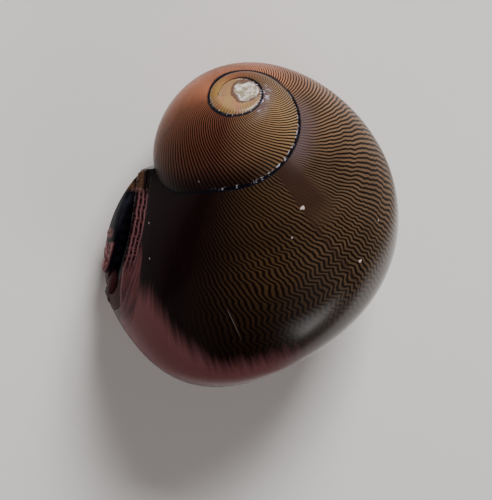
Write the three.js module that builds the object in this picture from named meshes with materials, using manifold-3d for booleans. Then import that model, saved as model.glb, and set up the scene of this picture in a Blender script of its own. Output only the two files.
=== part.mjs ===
// Olive nerite snail, life size, drawn back into its shell behind the closed lid.
// The coiled shell is built round its own axis: apex at the origin, axis along +Z,
// and the whorls growing downwards. The last groups lay the shell on the floor.
import * as THREE from "three";
import { mergeVertices } from "three/addons/utils/BufferGeometryUtils.js";
import Module from "manifold-3d";

const wasm = await Module();
wasm.setup();

const TURN = 2 * Math.PI;
const DEGREE = Math.PI / 180;
const GAP = 0.3;
// Corners nearer than this are one corner: before joining, and in the finished meshes
const SAME_POINT = 1e-5;
const WELD = 0.004;

// The whorl's oval cross-section at the lip, mm
const RING_RADIUS = 6.09;
const RING_DROP = 11.73;
const OVAL_NARROW = 4.77;
const OVAL_LONG = 10.29;
const OVAL_LEAN = 0.701;
// Growth along the coil, per turn, as exponents
const GROWTH = [0.376, -0.517, -0.13];
const DROP_GROWTH = 0.231;
const RADIUS_GROWTH = -0.289;
const LEAN_GROWTH = 0.233;
// A swelling of the last whorl just before the lip
const SWELL_DROP = -0.298;
const SWELL_RADIUS = 0.983;
const SWELL_AT = -0.887;
const SWELL_WIDTH = 0.455;
// The last stretch before the lip draws in again
const DRAWN_IN = 1.0;
const DRAWN_FROM = -0.8;
const DRAWN_TO = 0.1;

// Where the whorls begin and end, radians along the coil, 0 near the lip
const SEAM = 0.3;
const APEX_START = SEAM - 3 * TURN;
const SPIRE_START = SEAM - 2 * TURN;
const BODY_START = SEAM - TURN;
const BODY_HALFWAY = -2.6;
const CLOSING_START = 0.15;
const BODY_END = 0.95;
const CLOSING_SINK = -0.4;

// The rounded base
const BASE_DEPTH = 19.3;
const BASE_TILT = 0.25;
const BASE_LOWEST_AT = -0.3;
const BASE_LEAVES_AT = -1.5;
const BASE_FULLNESS = 0.4;
// Where the inner faces of the whorls meet on the axis
const SPIRE_LEAVES_AT = -1.3;
const BODY_CROWN = -3.2;
const SPIRE_CROWN = -0.5;
const SPIRE_FOOT = -7.6;
const APEX_CROWN = 0.2;
const APEX_FOOT = -1.6;
// A whorl's section starts a little inside the whorl before it, as an angle on the oval
const SUTURE_SINK = 0.12;
const SUTURE_LAST = 2.4;
const SUTURE_STEP = 0.01;

// The plane of the mouth, in the shell's own frame
const MOUTH_NORMAL = new THREE.Vector3(0.865, -0.333, 0.375).normalize();
const MOUTH_DISTANCE = 4.7;
const LIP_THICKNESS = 0.6;
const MOUTH_UP = new THREE.Vector3(-0.495, -0.685, 0.534);
const MOUTH_CENTRE = new THREE.Vector2(-11, -10.5);

// The round shoulder over the mouth's top corner: how far out of the mouth plane, and how far up
const SHOULDER_RADIUS = 12;
const SHOULDER_LENGTH = 30;
const SHOULDER_CENTRE = new THREE.Vector2(-7.0, -5.2);
const SHOULDER_FROM = new THREE.Vector2(-4, 2);

// The opening in the mouth plane: a bowed lip side and a straight side along the deck
const OPENING_TOP = new THREE.Vector2(1.6, 4.0);
const OPENING_BOTTOM = new THREE.Vector2(-3.3, -4.2);
const OPENING_BOW_TOP = new THREE.Vector2(4.0, -1.0);
const OPENING_BOW_BOTTOM = new THREE.Vector2(1.2, -6.6);
const OPENING_STEPS = 20;
const POCKET_DEPTH = 3.6;
const POCKET_TOP = 3;
// An outline drawn in by a distance keeps its sharpest corners from running out further
const SHARPEST = 0.35;
const INSET_PLAY = 0.01;

// The deck that half closes the mouth, and the small teeth on its edge
const DECK_RISE = 0.55;
const DECK_CENTRE = new THREE.Vector2(-2.8, -0.1);
const DECK_HALF_LENGTH = 6.6;
const DECK_HALF_WIDTH = 5.2;
const DECK_BULGE = 3.1;
const TEETH = 6;
const TOOTH_RADIUS = 0.36;
const TOOTH_SINK = 0.14;
const FIRST_TOOTH = 0.24;
const LAST_TOOTH = 0.74;

// The lid and the foot behind it
const LID_TOP = -0.45;
const LID_THICKNESS = 0.8;
const LID_PLAY = 0.75;
const FOOT_BOTTOM = -3.3;
const FOOT_RIM_TOP = -0.85;

// How the shell lies: its axis leans from the vertical, and the apex stands over the floor
const AXIS_SPIN = 11.1 * DEGREE;
const AXIS_LEAN = 52.2 * DEGREE;
const LIE_TURN = -169.2 * DEGREE;
const APEX_AT = new THREE.Vector3(-1.5, 10.42, 13.35);

// A block larger than the shell, for cutting
const BLOCK = 80;

const STEPS_PER_TURN = 48;
const APEX_STEPS_PER_TURN = 30;
const ARC_STEPS = 16;
const SPIRE_ARC_STEPS = 11;
const BASE_STEPS = 10;

function ringAt(theta, swollen = 0) {
  const turns = theta / TURN;
  const growth = GROWTH[0] * turns + GROWTH[1] * turns ** 2 + GROWTH[2] * turns ** 3;
  const swell = Math.exp(-(((theta - SWELL_AT) / SWELL_WIDTH) ** 2));
  const drawn = DRAWN_IN * THREE.MathUtils.smoothstep(theta, DRAWN_FROM, DRAWN_TO);
  return {
    radius: RING_RADIUS * Math.exp(growth + RADIUS_GROWTH * turns) + SWELL_RADIUS * swell - drawn,
    height: -RING_DROP * Math.exp(growth + DROP_GROWTH * turns) + SWELL_DROP * swell,
    narrow: OVAL_NARROW * Math.exp(growth) + swollen,
    long: OVAL_LONG * Math.exp(growth) + swollen,
    lean: OVAL_LEAN + LEAN_GROWTH * turns,
  };
}

function mixRings(from, to, share) {
  const ring = {};
  for (const key of Object.keys(from)) ring[key] = from[key] + (to[key] - from[key]) * share;
  return ring;
}

// Past the lip the whorl closes smoothly down onto the whorl before it
function closedRing(theta, swollen = 0) {
  const share = THREE.MathUtils.smootherstep(theta, CLOSING_START, BODY_END);
  const ring = ringAt(Math.min(theta, CLOSING_START), swollen);
  const before = ringAt(theta - TURN, CLOSING_SINK);
  return mixRings(ring, before, share);
}

function ovalPoint(ring, angle) {
  const x = ring.narrow * Math.cos(angle);
  const y = ring.long * Math.sin(angle);
  const c = Math.cos(ring.lean);
  const s = Math.sin(ring.lean);
  return new THREE.Vector2(ring.radius + c * x - s * y, ring.height + s * x + c * y);
}

function insideOval(ring, point) {
  const dx = point.x - ring.radius;
  const dy = point.y - ring.height;
  const c = Math.cos(ring.lean);
  const s = Math.sin(ring.lean);
  return ((c * dx + s * dy) / ring.narrow) ** 2 + ((c * dy - s * dx) / ring.long) ** 2 < 1;
}

// The angle on the oval where the whorl runs in under the whorl before it
function sutureAngle(ring, before) {
  let angle = 0;
  while (angle < SUTURE_LAST && !insideOval(before, ovalPoint(ring, angle))) angle += SUTURE_STEP;
  return angle;
}

// Half section of the body whorl: in along the suture's level, round the whorl, over the base
function bodySection(theta, swollen = 0) {
  const ring = closedRing(theta, swollen);
  const before = ringAt(theta - TURN);
  const top = sutureAngle(ring, before) + SUTURE_SINK;
  const points = [];
  for (let i = 0; i <= ARC_STEPS; i++) {
    points.push(ovalPoint(ring, top + ((BASE_LEAVES_AT - top) * i) / ARC_STEPS));
  }
  points.unshift(new THREE.Vector2(0, BODY_CROWN));
  const last = points[points.length - 1];
  const along = last.clone().sub(ovalPoint(ring, BASE_LEAVES_AT + SUTURE_STEP)).normalize();
  const pole = new THREE.Vector2(0, -BASE_DEPTH);
  const reach = last.distanceTo(pole) * BASE_FULLNESS;
  const slope = BASE_TILT * Math.cos(theta - BASE_LOWEST_AT);
  const base = new THREE.CubicBezierCurve(last, last.clone().addScaledVector(along, reach),
    new THREE.Vector2(reach, -BASE_DEPTH - reach * slope), pole);
  return points.concat(base.getPoints(BASE_STEPS).slice(1));
}

// Half section of a spire whorl, closed off level inside the whorl that follows
function spireSection(theta, swollen = 0) {
  const ring = ringAt(theta, swollen);
  const before = ringAt(theta - TURN, swollen);
  return innerSection(ring, sutureAngle(ring, before) + SUTURE_SINK, SPIRE_CROWN, SPIRE_FOOT);
}

// The first whorl is worn flat from its crown to the axis
function apexSection(theta, swollen = 0) {
  const ring = ringAt(theta, swollen);
  const crown = Math.atan2(ring.long * Math.cos(ring.lean), ring.narrow * Math.sin(ring.lean));
  return innerSection(ring, crown, APEX_CROWN, APEX_FOOT);
}

function innerSection(ring, top, crown, foot) {
  const points = [];
  for (let i = 0; i <= SPIRE_ARC_STEPS; i++) {
    points.push(ovalPoint(ring, top + ((SPIRE_LEAVES_AT - top) * i) / SPIRE_ARC_STEPS));
  }
  points.unshift(new THREE.Vector2(0, crown));
  points.push(new THREE.Vector2(0, foot));
  return points;
}

function solidOf(positions, triangles) {
  const geometry = new THREE.BufferGeometry();
  geometry.setAttribute("position", new THREE.Float32BufferAttribute(positions, 3));
  geometry.setIndex(triangles);
  return solidFrom(geometry);
}

function solidFrom(geometry) {
  geometry.deleteAttribute("normal");
  geometry.deleteAttribute("uv");
  const merged = mergeVertices(geometry, SAME_POINT);
  return new wasm.Manifold(new wasm.Mesh({
    numProp: 3,
    vertProperties: merged.attributes.position.array,
    triVerts: new Uint32Array(merged.index.array),
  }));
}

function place(point, theta) {
  return [point.x * Math.cos(theta), -point.x * Math.sin(theta), point.y];
}

// Triangles that fill a flat outline, all turned the way the outline runs
function capTriangles(points) {
  const clockwise = THREE.ShapeUtils.isClockWise(points);
  return THREE.ShapeUtils.triangulateShape(points, []).map(([a, b, c]) => {
    const turn = THREE.ShapeUtils.isClockWise([points[a], points[b], points[c]]);
    return turn === clockwise ? [a, b, c] : [c, b, a];
  });
}

// A closed solid swept through sections along the coil
function sweep(stations) {
  const positions = [];
  const triangles = [];
  const count = stations[0].points.length;
  for (const { theta, points } of stations) {
    for (const point of points) positions.push(...place(point, theta));
  }
  const key = (i) => positions.slice(3 * i, 3 * i + 3).map((value) => value.toFixed(5)).join();
  const triangle = (a, b, c) => {
    if (new Set([key(a), key(b), key(c)]).size === 3) triangles.push(a, b, c);
  };
  for (let s = 0; s + 1 < stations.length; s++) {
    const here = s * count;
    const next = here + count;
    for (let i = 0; i + 1 < count; i++) {
      triangle(here + i, next + i + 1, here + i + 1);
      triangle(here + i, next + i, next + i + 1);
    }
  }
  const lastStart = (stations.length - 1) * count;
  for (const [a, b, c] of capTriangles(stations[0].points)) triangles.push(a, b, c);
  for (const [a, b, c] of capTriangles(stations[stations.length - 1].points)) {
    triangles.push(lastStart + c, lastStart + b, lastStart + a);
  }
  return solidOf(positions, triangles);
}

function coil(section, from, to, stepsPerTurn = STEPS_PER_TURN) {
  const half = TURN / 2;
  const pieces = Math.ceil((to - from) / half);
  let whole = null;
  for (let p = 0; p < pieces; p++) {
    const start = from + ((to - from) * p) / pieces;
    const end = from + ((to - from) * (p + 1)) / pieces;
    const steps = Math.max(3, Math.round(((end - start) / TURN) * stepsPerTurn));
    const stations = [];
    for (let i = 0; i <= steps; i++) {
      const theta = start + ((end - start) * i) / steps;
      stations.push({ theta, points: section(theta) });
    }
    const piece = sweep(stations);
    whole = whole ? whole.add(piece) : piece;
  }
  return whole;
}

// A large block whose face lies in the plane at this distance, filling all that is beyond it
function beyond(normal, distance) {
  const geometry = new THREE.BoxGeometry(BLOCK, BLOCK, BLOCK);
  geometry.translate(0, 0, BLOCK / 2 + distance);
  const turn = new THREE.Quaternion().setFromUnitVectors(new THREE.Vector3(0, 0, 1), normal);
  geometry.applyQuaternion(turn);
  return solidFrom(geometry);
}

function largest(solid) {
  const parts = solid.decompose();
  parts.sort((a, b) => b.volume() - a.volume());
  return parts[0];
}

const bodyEarly = coil((theta) => bodySection(theta), BODY_START, BODY_HALFWAY);
const bodyLate = coil((theta) => bodySection(theta), BODY_HALFWAY, BODY_END);
const spire = coil((theta) => spireSection(theta, -GAP / 3), SPIRE_START, BODY_START);
const spireRoom = coil((theta) => spireSection(theta, (2 * GAP) / 3), SPIRE_START, BODY_START);
const apex = coil((theta) => apexSection(theta), APEX_START, SPIRE_START, APEX_STEPS_PER_TURN);
const apexRoom = coil((theta) => apexSection(theta, GAP), APEX_START, SPIRE_START,
  APEX_STEPS_PER_TURN);

// The mouth's frame: x towards the lip, y towards the spire, z out of the mouth
const mouthTurn = new THREE.Matrix4().makeBasis(
  new THREE.Vector3().crossVectors(MOUTH_UP, MOUTH_NORMAL).normalize(),
  new THREE.Vector3().crossVectors(MOUTH_NORMAL,
    new THREE.Vector3().crossVectors(MOUTH_UP, MOUTH_NORMAL)).normalize(),
  MOUTH_NORMAL,
);

function inMouth(geometry) {
  geometry.translate(MOUTH_CENTRE.x, MOUTH_CENTRE.y, MOUTH_DISTANCE);
  geometry.applyMatrix4(mouthTurn);
  return solidFrom(geometry);
}

function openingOutline() {
  const bow = new THREE.CubicBezierCurve(
    OPENING_TOP, OPENING_BOW_TOP, OPENING_BOW_BOTTOM, OPENING_BOTTOM);
  return bow.getPoints(OPENING_STEPS);
}

function distanceToEdge(point, start, end) {
  const edge = end.clone().sub(start);
  const share = THREE.MathUtils.clamp(point.clone().sub(start).dot(edge) / edge.lengthSq(), 0, 1);
  return point.distanceTo(start.clone().addScaledVector(edge, share));
}

// The outline drawn in by a distance all round; points that would cross at a corner drop out
function inset(points, distance) {
  const next = (i) => points[(i + 1) % points.length];
  const moved = points.map((point, i) => {
    const before = points[(i + points.length - 1) % points.length];
    const arrive = point.clone().sub(before).normalize();
    const leave = next(i).clone().sub(point).normalize();
    const inward = new THREE.Vector2(arrive.y + leave.y, -arrive.x - leave.x);
    const sharpness = Math.max(SHARPEST, inward.length() / 2);
    return point.clone().addScaledVector(inward.normalize(), distance / sharpness);
  });
  const clear = (point) => points.every(
    (start, i) => distanceToEdge(point, start, next(i)) > distance - INSET_PLAY);
  return moved.filter(clear);
}

function plate(points, top, bottom) {
  const geometry = new THREE.ExtrudeGeometry(new THREE.Shape(points),
    { depth: top - bottom, bevelEnabled: false, curveSegments: 1 });
  geometry.translate(0, 0, bottom);
  return inMouth(geometry);
}

// A block that fills the deck's side of the opening's straight edge, set off from it
function deckSide(offset) {
  const geometry = new THREE.BoxGeometry(BLOCK, BLOCK, BLOCK);
  geometry.translate(BLOCK / 2 + offset, 0, 0);
  const along = OPENING_BOTTOM.clone().sub(OPENING_TOP);
  geometry.rotateZ(along.angle() - Math.PI / 2);
  geometry.translate(OPENING_TOP.x, OPENING_TOP.y, 0);
  return inMouth(geometry);
}

// What is taken off above the mouth, so that its top corner is round
function shoulderCut() {
  const round = new THREE.SphereGeometry(1, 48, 48);
  round.scale(SHOULDER_LENGTH, SHOULDER_RADIUS, SHOULDER_RADIUS);
  round.translate(0, SHOULDER_CENTRE.y, SHOULDER_CENTRE.x);
  const geometry = new THREE.BoxGeometry(BLOCK, SHOULDER_RADIUS, SHOULDER_RADIUS);
  geometry.translate(0, SHOULDER_FROM.y + SHOULDER_RADIUS / 2, SHOULDER_FROM.x + SHOULDER_RADIUS / 2);
  return inMouth(geometry).subtract(inMouth(round));
}

const opening = openingOutline();
const shoulder = shoulderCut();
const earlyRoom = coil((theta) => bodySection(theta, GAP), BODY_START, BODY_HALFWAY);
const mouth = beyond(MOUTH_NORMAL, MOUTH_DISTANCE);
const wall = beyond(MOUTH_NORMAL, MOUTH_DISTANCE - LIP_THICKNESS);
const behindLip = beyond(MOUTH_NORMAL, MOUTH_DISTANCE - LIP_THICKNESS - GAP);
const bodyWhorl = bodyEarly
  .add(bodyLate.subtract(behindLip).subtract(shoulder))
  .subtract(spireRoom)
  .subtract(plate(opening, POCKET_TOP, -POCKET_DEPTH));

const rim = bodyLate.intersect(wall).subtract(earlyRoom).subtract(spireRoom).subtract(shoulder);
const lip = rim.subtract(mouth).subtract(plate(opening, POCKET_TOP, -POCKET_DEPTH)).subtract(deckSide(-GAP));

function deckPlate() {
  const cap = new THREE.SphereGeometry(1, 40, 24);
  cap.scale(DECK_HALF_WIDTH, DECK_HALF_LENGTH, DECK_BULGE);
  cap.rotateZ(OPENING_BOTTOM.clone().sub(OPENING_TOP).angle() + Math.PI / 2);
  cap.translate(DECK_CENTRE.x, DECK_CENTRE.y, DECK_RISE - DECK_BULGE);
  let deck = rim.intersect(deckSide(0)).intersect(inMouth(cap));
  for (let i = 0; i < TEETH; i++) {
    const share = THREE.MathUtils.lerp(FIRST_TOOTH, LAST_TOOTH, i / (TEETH - 1));
    const at = OPENING_TOP.clone().lerp(OPENING_BOTTOM, share);
    const tooth = new THREE.SphereGeometry(TOOTH_RADIUS, 10, 8);
    tooth.translate(at.x - TOOTH_SINK, at.y + TOOTH_SINK / 2, -LIP_THICKNESS / 2);
    deck = deck.add(inMouth(tooth));
  }
  return deck;
}

const lidOutline = inset(opening, LID_PLAY);
const lid = plate(lidOutline, LID_TOP, LID_TOP - LID_THICKNESS);
const footOutline = inset(opening, GAP);
const foot = plate(footOutline, FOOT_RIM_TOP, FOOT_BOTTOM)
  .subtract(plate(inset(opening, LID_PLAY - GAP), POCKET_TOP, LID_TOP - LID_THICKNESS - GAP));

// The floor under the shell, seen from the shell's own frame
const down = new THREE.Vector3(0, 0, -1)
  .applyAxisAngle(new THREE.Vector3(0, 0, 1), -LIE_TURN)
  .applyAxisAngle(new THREE.Vector3(1, 0, 0), -AXIS_LEAN)
  .applyAxisAngle(new THREE.Vector3(0, 0, 1), -AXIS_SPIN);
const floor = beyond(down, APEX_AT.z);

// Corners closer together than the weld are made one, and the slivers between them go
function welded(solid) {
  const { vertProperties, triVerts } = solid.getMesh();
  const corners = [];
  const places = [];
  for (let i = 0; i < vertProperties.length; i += 3) {
    const point = new THREE.Vector3().fromArray(vertProperties, i);
    const near = corners.findIndex((corner) => corner.distanceTo(point) < WELD);
    places.push(near < 0 ? corners.push(point) - 1 : near);
  }
  const triangles = new Map();
  for (let i = 0; i < triVerts.length; i += 3) {
    const triangle = [places[triVerts[i]], places[triVerts[i + 1]], places[triVerts[i + 2]]];
    const key = [...triangle].sort().join();
    const flat = new Set(triangle).size < 3;
    if (!flat && !triangles.delete(key)) triangles.set(key, triangle);
  }
  const geometry = new THREE.BufferGeometry().setFromPoints(corners);
  geometry.setIndex([...triangles.values()].flat());
  return geometry;
}

function meshOf(name, solid, color, roughness) {
  const material = new THREE.MeshStandardMaterial({ color, roughness, metalness: 0 });
  const mesh = new THREE.Mesh(welded(largest(solid)), material);
  mesh.name = name;
  return mesh;
}

const shell = new THREE.Group();
shell.rotation.z = AXIS_SPIN;
shell.add(
  meshOf("shell_body_whorl", bodyWhorl.subtract(floor), 0x2c2413, 0.25),
  meshOf("shell_spire", spire.subtract(apexRoom), 0x4a3a1c, 0.25),
  meshOf("shell_apex", apex, 0x9a8a66, 0.5),
  meshOf("outer_lip", lip, 0x6a4842, 0.5),
  meshOf("columellar_deck", deckPlate(), 0x201c22, 0.3),
  meshOf("operculum", lid, 0x14161e, 0.3),
  meshOf("foot", foot, 0x181214, 0.35),
);
const leaning = new THREE.Group();
leaning.rotation.x = AXIS_LEAN;
leaning.add(shell);
const lying = new THREE.Group();
lying.rotation.z = LIE_TURN;
lying.position.copy(APEX_AT);
lying.add(leaning);
const group = new THREE.Group();
group.add(lying);

export default group;
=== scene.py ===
"""Olive nerite snail, life size: the looks of the shell, its lip, deck, lid and foot.

The shell is worked out round its own axis, apex at the origin and the whorls growing
downwards, and every finished piece is then laid on the floor as the solids lie.
"""

import math
from typing import NamedTuple

import bmesh
import bpy
from bpy.props import FloatProperty, FloatVectorProperty, IntProperty, PointerProperty
from mathutils import Matrix, Vector


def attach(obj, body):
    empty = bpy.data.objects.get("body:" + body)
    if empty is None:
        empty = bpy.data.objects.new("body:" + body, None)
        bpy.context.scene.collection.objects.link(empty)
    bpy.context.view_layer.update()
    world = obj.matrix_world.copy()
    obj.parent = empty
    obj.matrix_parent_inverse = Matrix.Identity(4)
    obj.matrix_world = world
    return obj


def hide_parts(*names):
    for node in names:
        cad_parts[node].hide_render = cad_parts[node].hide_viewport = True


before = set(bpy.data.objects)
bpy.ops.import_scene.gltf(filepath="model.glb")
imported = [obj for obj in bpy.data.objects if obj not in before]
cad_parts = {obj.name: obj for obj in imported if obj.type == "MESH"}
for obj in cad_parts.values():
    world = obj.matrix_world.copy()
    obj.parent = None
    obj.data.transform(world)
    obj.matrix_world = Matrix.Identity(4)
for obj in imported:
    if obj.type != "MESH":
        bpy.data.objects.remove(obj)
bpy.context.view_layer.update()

bl_info = {
    "name": "Olive nerite snail",
    "version": (1, 0, 0),
    "blender": (4, 5, 0),
    "location": "View3D > Sidebar > Nerite",
    "description": "Builds a life-size olive nerite snail and its stage",
    "category": "Object",
}

MM = 0.001
TURN = 2 * math.pi

# Growth of the coil, per turn, as exponents
GROWTH = (0.376, -0.517, -0.13)
DROP_GROWTH = 0.231
RADIUS_GROWTH = -0.289
OVAL_LEAN = 0.701
LEAN_GROWTH = 0.233
# A swelling of the last whorl just before the lip, and where it draws in again
SWELL_DROP = -0.298 * MM
SWELL_RADIUS = 0.983 * MM
SWELL_AT = -0.887
SWELL_WIDTH = 0.455
DRAWN_IN = 1.0 * MM
DRAWN_FROM = -0.8
DRAWN_TO = 0.1

# Where the whorls begin and end, radians along the coil, 0 near the lip
SEAM = 0.3
APEX_START = SEAM - 3 * TURN
SPIRE_START = SEAM - 2 * TURN
BODY_START = SEAM - TURN
BODY_HALFWAY = -2.6
CLOSING_START = 0.15
BODY_END = 0.95
CLOSING_SINK = -0.4 * MM

# The rounded base, and where the inner faces of the whorls meet on the axis
BASE_DEPTH = 19.3 * MM
BASE_TILT = 0.25
BASE_LOWEST_AT = -0.3
BASE_LEAVES_AT = -1.5
SPIRE_LEAVES_AT = -1.3
BODY_CROWN = -3.2 * MM
SPIRE_CROWN = -0.5 * MM
SPIRE_FOOT = -7.6 * MM
APEX_CROWN = 0.2 * MM
APEX_FOOT = -1.6 * MM
BASE_FULLNESS = 0.4
SUTURE_SINK = 0.12
SUTURE_LAST = 2.4
SUTURE_STEP = 0.01

# The mouth in the shell's frame: its plane, and the opening drawn in that plane
MOUTH_NORMAL = Vector((0.865, -0.333, 0.375)).normalized()
MOUTH_UP = Vector((-0.495, -0.685, 0.534))
MOUTH_DISTANCE = 4.7 * MM
MOUTH_CENTRE = Vector((-11, -10.5)) * MM
# The opening's bow from its top to its bottom; the deck's edge runs straight between them
OPENING = [Vector(at) * MM for at in ((1.6, 4.0), (4.0, -1.0), (1.2, -6.6), (-3.3, -4.2))]
OPENING_TOP, OPENING_BOTTOM = OPENING[0], OPENING[-1]
DECK_EDGE = OPENING_BOTTOM - OPENING_TOP
EDGE_TURN = math.atan2(DECK_EDGE.y, DECK_EDGE.x)
POCKET_DEPTH = 3.6 * MM
POCKET_TOP = 3 * MM
# An outline drawn in by a distance keeps its sharpest corners from running out further
SHARPEST = 0.35
INSET_PLAY = 0.01 * MM
# The round shoulder over the mouth's top corner: up the mouth, and out of its plane
SHOULDER_RADIUS = 12 * MM
SHOULDER_LENGTH = 30 * MM
SHOULDER_CENTRE = Vector((0, -5.2, -7)) * MM
SHOULDER_FROM = Vector((0, 2, -4)) * MM
# The deck that half closes the mouth, and the teeth on its edge
DECK_CENTRE = Vector((-2.8, -0.1)) * MM
DECK_HALF_LENGTH = 6.6 * MM
DECK_HALF_WIDTH = 5.2 * MM
DECK_BULGE = 3.1 * MM
TOOTH_SINK = 0.14 * MM
FIRST_TOOTH = 0.24
LAST_TOOTH = 0.74
# The lid and the foot behind it
LID_TOP = -0.45 * MM
LID_PLAY = 0.75 * MM
FOOT_BOTTOM = -3.3 * MM
FOOT_RIM_TOP = -0.85 * MM

# How the shell lies on the floor
AXIS_SPIN = math.radians(11.1)
AXIS_LEAN = math.radians(52.2)
LIE_TURN = math.radians(-169.2)
APEX_AT = Vector((-1.5, 10.42, 13.35)) * MM
LYING = (
    Matrix.Translation(APEX_AT)
    @ Matrix.Rotation(LIE_TURN, 4, "Z")
    @ Matrix.Rotation(AXIS_LEAN, 4, "X")
    @ Matrix.Rotation(AXIS_SPIN, 4, "Z")
)

# Growth lines run back from the suture: how far, and where on the oval, in radians
LINE_SLANT = 0.71
LINE_SLANT_AT = 0.55
LINE_SLANT_WIDTH = 0.75
# How many growth lines to the radian: far back, and how many more towards the lip
LINES_BACK = 20
LINES_MORE = 10
LINES_MORE_AT = -1.2
LINES_MORE_WIDTH = 0.35
# They crowd together just before the old mark where growth once stopped
CROWDED = 9
CROWD_WIDTH = 0.25
CROWD_BEFORE_MARK = 0.3
# That mark's start at the suture, in radians, and how far it runs along the coil to the metre
MARK_AT = -1.68
MARK_LEAN = -22.0
# Growth lines to the radian on the whorl above, and spokes to the radian on the first whorl
SPIRE_LINES = 15
APEX_LINES = 8
# How strongly the shell and the mouth mirror their surroundings, against 0.5 for glass
SHELL_SHINE = 0.03
MOUTH_SHINE = 0.02

# Half the length of a zigzag along the line, and the spacing of the lip's strands, mm
ZIGZAG_HALF = 0.5
STRAND = 0.2
# How many halves the zigzag drifts, and how many lines wide a line's roughness is
ZIGZAG_DRIFT = 6
ROUGH_HEIGHT = 0.45
# Where on its wave a growth line's edge begins and ends
LINE_EDGE = (-0.45, 0.5)
# Dust: cells to the metre, and the size of a dot in such a cell
SPECK_CELLS = 900
SPECK_SIZE = 0.09
# How far the edge of a fleck or pit strays, in its own radii
SPOT_RAGGEDNESS = 3
NOISE_ROUGHNESS = 0.55
# Where along the coil the last whorl's colours end, in radians
BODY_RAMP_END = 1.0

# How far apart neighbours lie: pieces, the lip's wall, the lid in the foot, and the foot
SEAM_GAP = 0.02 * MM
WALL_GAP = 0.1 * MM
LID_GAP = 0.05 * MM
FOOT_GAP = 0.1 * MM

# Points closer than these become one: in a sweep, and in a finished piece, in metres
POLE_WELD = 1e-8
WELD = 2e-7
# Edges sharper than this stay sharp in the shading
SHARP_ANGLE = math.radians(38)
# The distance from the next whorl's start where no whorl follows, in metres
FAR_OFF = 1.0

# Blocks that cut reach well past the shell
BLOCK_SIZE = 60 * MM
SIDE_BLOCK_SIZE = 40 * MM
SHOULDER_BLOCK_LENGTH = 80 * MM

# Steps along each half section and along the opening, and round the ellipsoids
BODY_STEPS = 64
BASE_STEPS = 24
SPIRE_STEPS = 48
APEX_STEPS = 30
OPENING_STEPS = 48
SHOULDER_SEGMENTS = 192
CAP_SEGMENTS = 128
TOOTH_SEGMENTS = 24
LOBE_SEGMENTS = 48

# Lobes and folds of the callus on the deck, in the mouth's frame: middle and half sizes, mm
LOBES = (
    ((-3.2, -0.05, 0.36), (0.9, 0.36, 0.28)),
    ((-3.4, -1.45, 0.22), (1.1, 0.95, 0.36)),
    ((-3.6, -2.50, 0.16), (1.2, 0.70, 0.38)),
    ((-1.6, -2.70, 0.02), (0.5, 0.62, 0.42)),
    ((-2.4, -4.10, -0.30), (0.8, 1.30, 0.36)),
)

# The eroded middle of the apex, in the row's frame, and its radius in mm
CORE_AT = Vector((-1.2, 11.38, 13.85)) * MM
CORE_RADIUS = 1.18
# Flecks and pits on the last whorl: where they are in the row's frame, and their size, mm
PALE_FLECKS = (((2.85, 2.84, 15.62), 0.19), ((7.34, -1.61, 13.97), 0.15))
BLACK_PITS = (((5.2, -8.3, 12.6), 0.28), ((4.4, -8.95, 12.6), 0.22))

# The camera, in the row frame
CAMERA_AT = Vector((-13.6534, 38.4322, 160.6122)) * MM
CAMERA_RIGHT = Vector((0.99649, 0.01076, 0.08298))
CAMERA_UP = Vector((0.01095, 0.9664, -0.25681))
CAMERA_BACK = Vector((-0.08295, 0.25681, 0.96289))
PICTURE_LONG_SIDE = 500
FOCAL_PIXELS = 2100
SENSOR_WIDTH = 36
CLIP = (0.01, 10)

# The floor's disc, and the square soft lights that face the shell: name, place and size in
# metres, power in watts, tint
FLOOR_RADIUS = 2.0
FLOOR_SEGMENTS = 96
WHITE = (1.0, 1.0, 1.0)
PINKISH = (1.0, 0.86, 0.84)
LIGHTS = (
    ("key_light", (0.1, 0.36, 0.27), 0.16, 3.8, WHITE),
    ("fill_light", (0.34, -0.3, 0.3), 0.3, 0.8, WHITE),
    ("low_light", (-0.34, -0.3, 0.14), 0.4, 0.5, PINKISH),
)
ROOM_TINT = (1, 0.87, 0.84, 1)
ROOM_STRENGTH = 0.12

# What each point of a whorl knows of its place
PLACES = ("theta", "line", "after_mark", "beyond_suture", "above_next")


class Ring(NamedTuple):
    """The oval that the whorl's edge has at one place along the coil."""

    radius: float
    height: float
    narrow: float
    long: float
    lean: float


def smoothstep(value, low, high):
    share = min(max((value - low) / (high - low), 0), 1)
    return share * share * (3 - 2 * share)


def smootherstep(value, low, high):
    share = min(max((value - low) / (high - low), 0), 1)
    return share**3 * (share * (share * 6 - 15) + 10)


def ring_at(theta, swollen=0.0):
    sizes = bpy.context.scene.nerite_sizes
    turns = theta / TURN
    growth = GROWTH[0] * turns + GROWTH[1] * turns**2 + GROWTH[2] * turns**3
    swell = math.exp(-(((theta - SWELL_AT) / SWELL_WIDTH) ** 2))
    drawn = DRAWN_IN * smoothstep(theta, DRAWN_FROM, DRAWN_TO)
    return Ring(
        sizes.ring_radius * math.exp(growth + RADIUS_GROWTH * turns) + SWELL_RADIUS * swell - drawn,
        -sizes.ring_drop * math.exp(growth + DROP_GROWTH * turns) + SWELL_DROP * swell,
        sizes.oval_narrow * math.exp(growth) + swollen,
        sizes.oval_long * math.exp(growth) + swollen,
        OVAL_LEAN + LEAN_GROWTH * turns,
    )


def closed_ring(theta, swollen):
    """The whorl's oval, closing smoothly past the lip onto the whorl before it."""
    share = smootherstep(theta, CLOSING_START, BODY_END)
    ring = ring_at(min(theta, CLOSING_START), swollen)
    before = ring_at(theta - TURN, CLOSING_SINK)
    return Ring(*(a + (b - a) * share for a, b in zip(ring, before)))


def oval_point(ring, angle):
    x = ring.narrow * math.cos(angle)
    y = ring.long * math.sin(angle)
    c, s = math.cos(ring.lean), math.sin(ring.lean)
    return Vector((ring.radius + c * x - s * y, ring.height + s * x + c * y))


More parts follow.
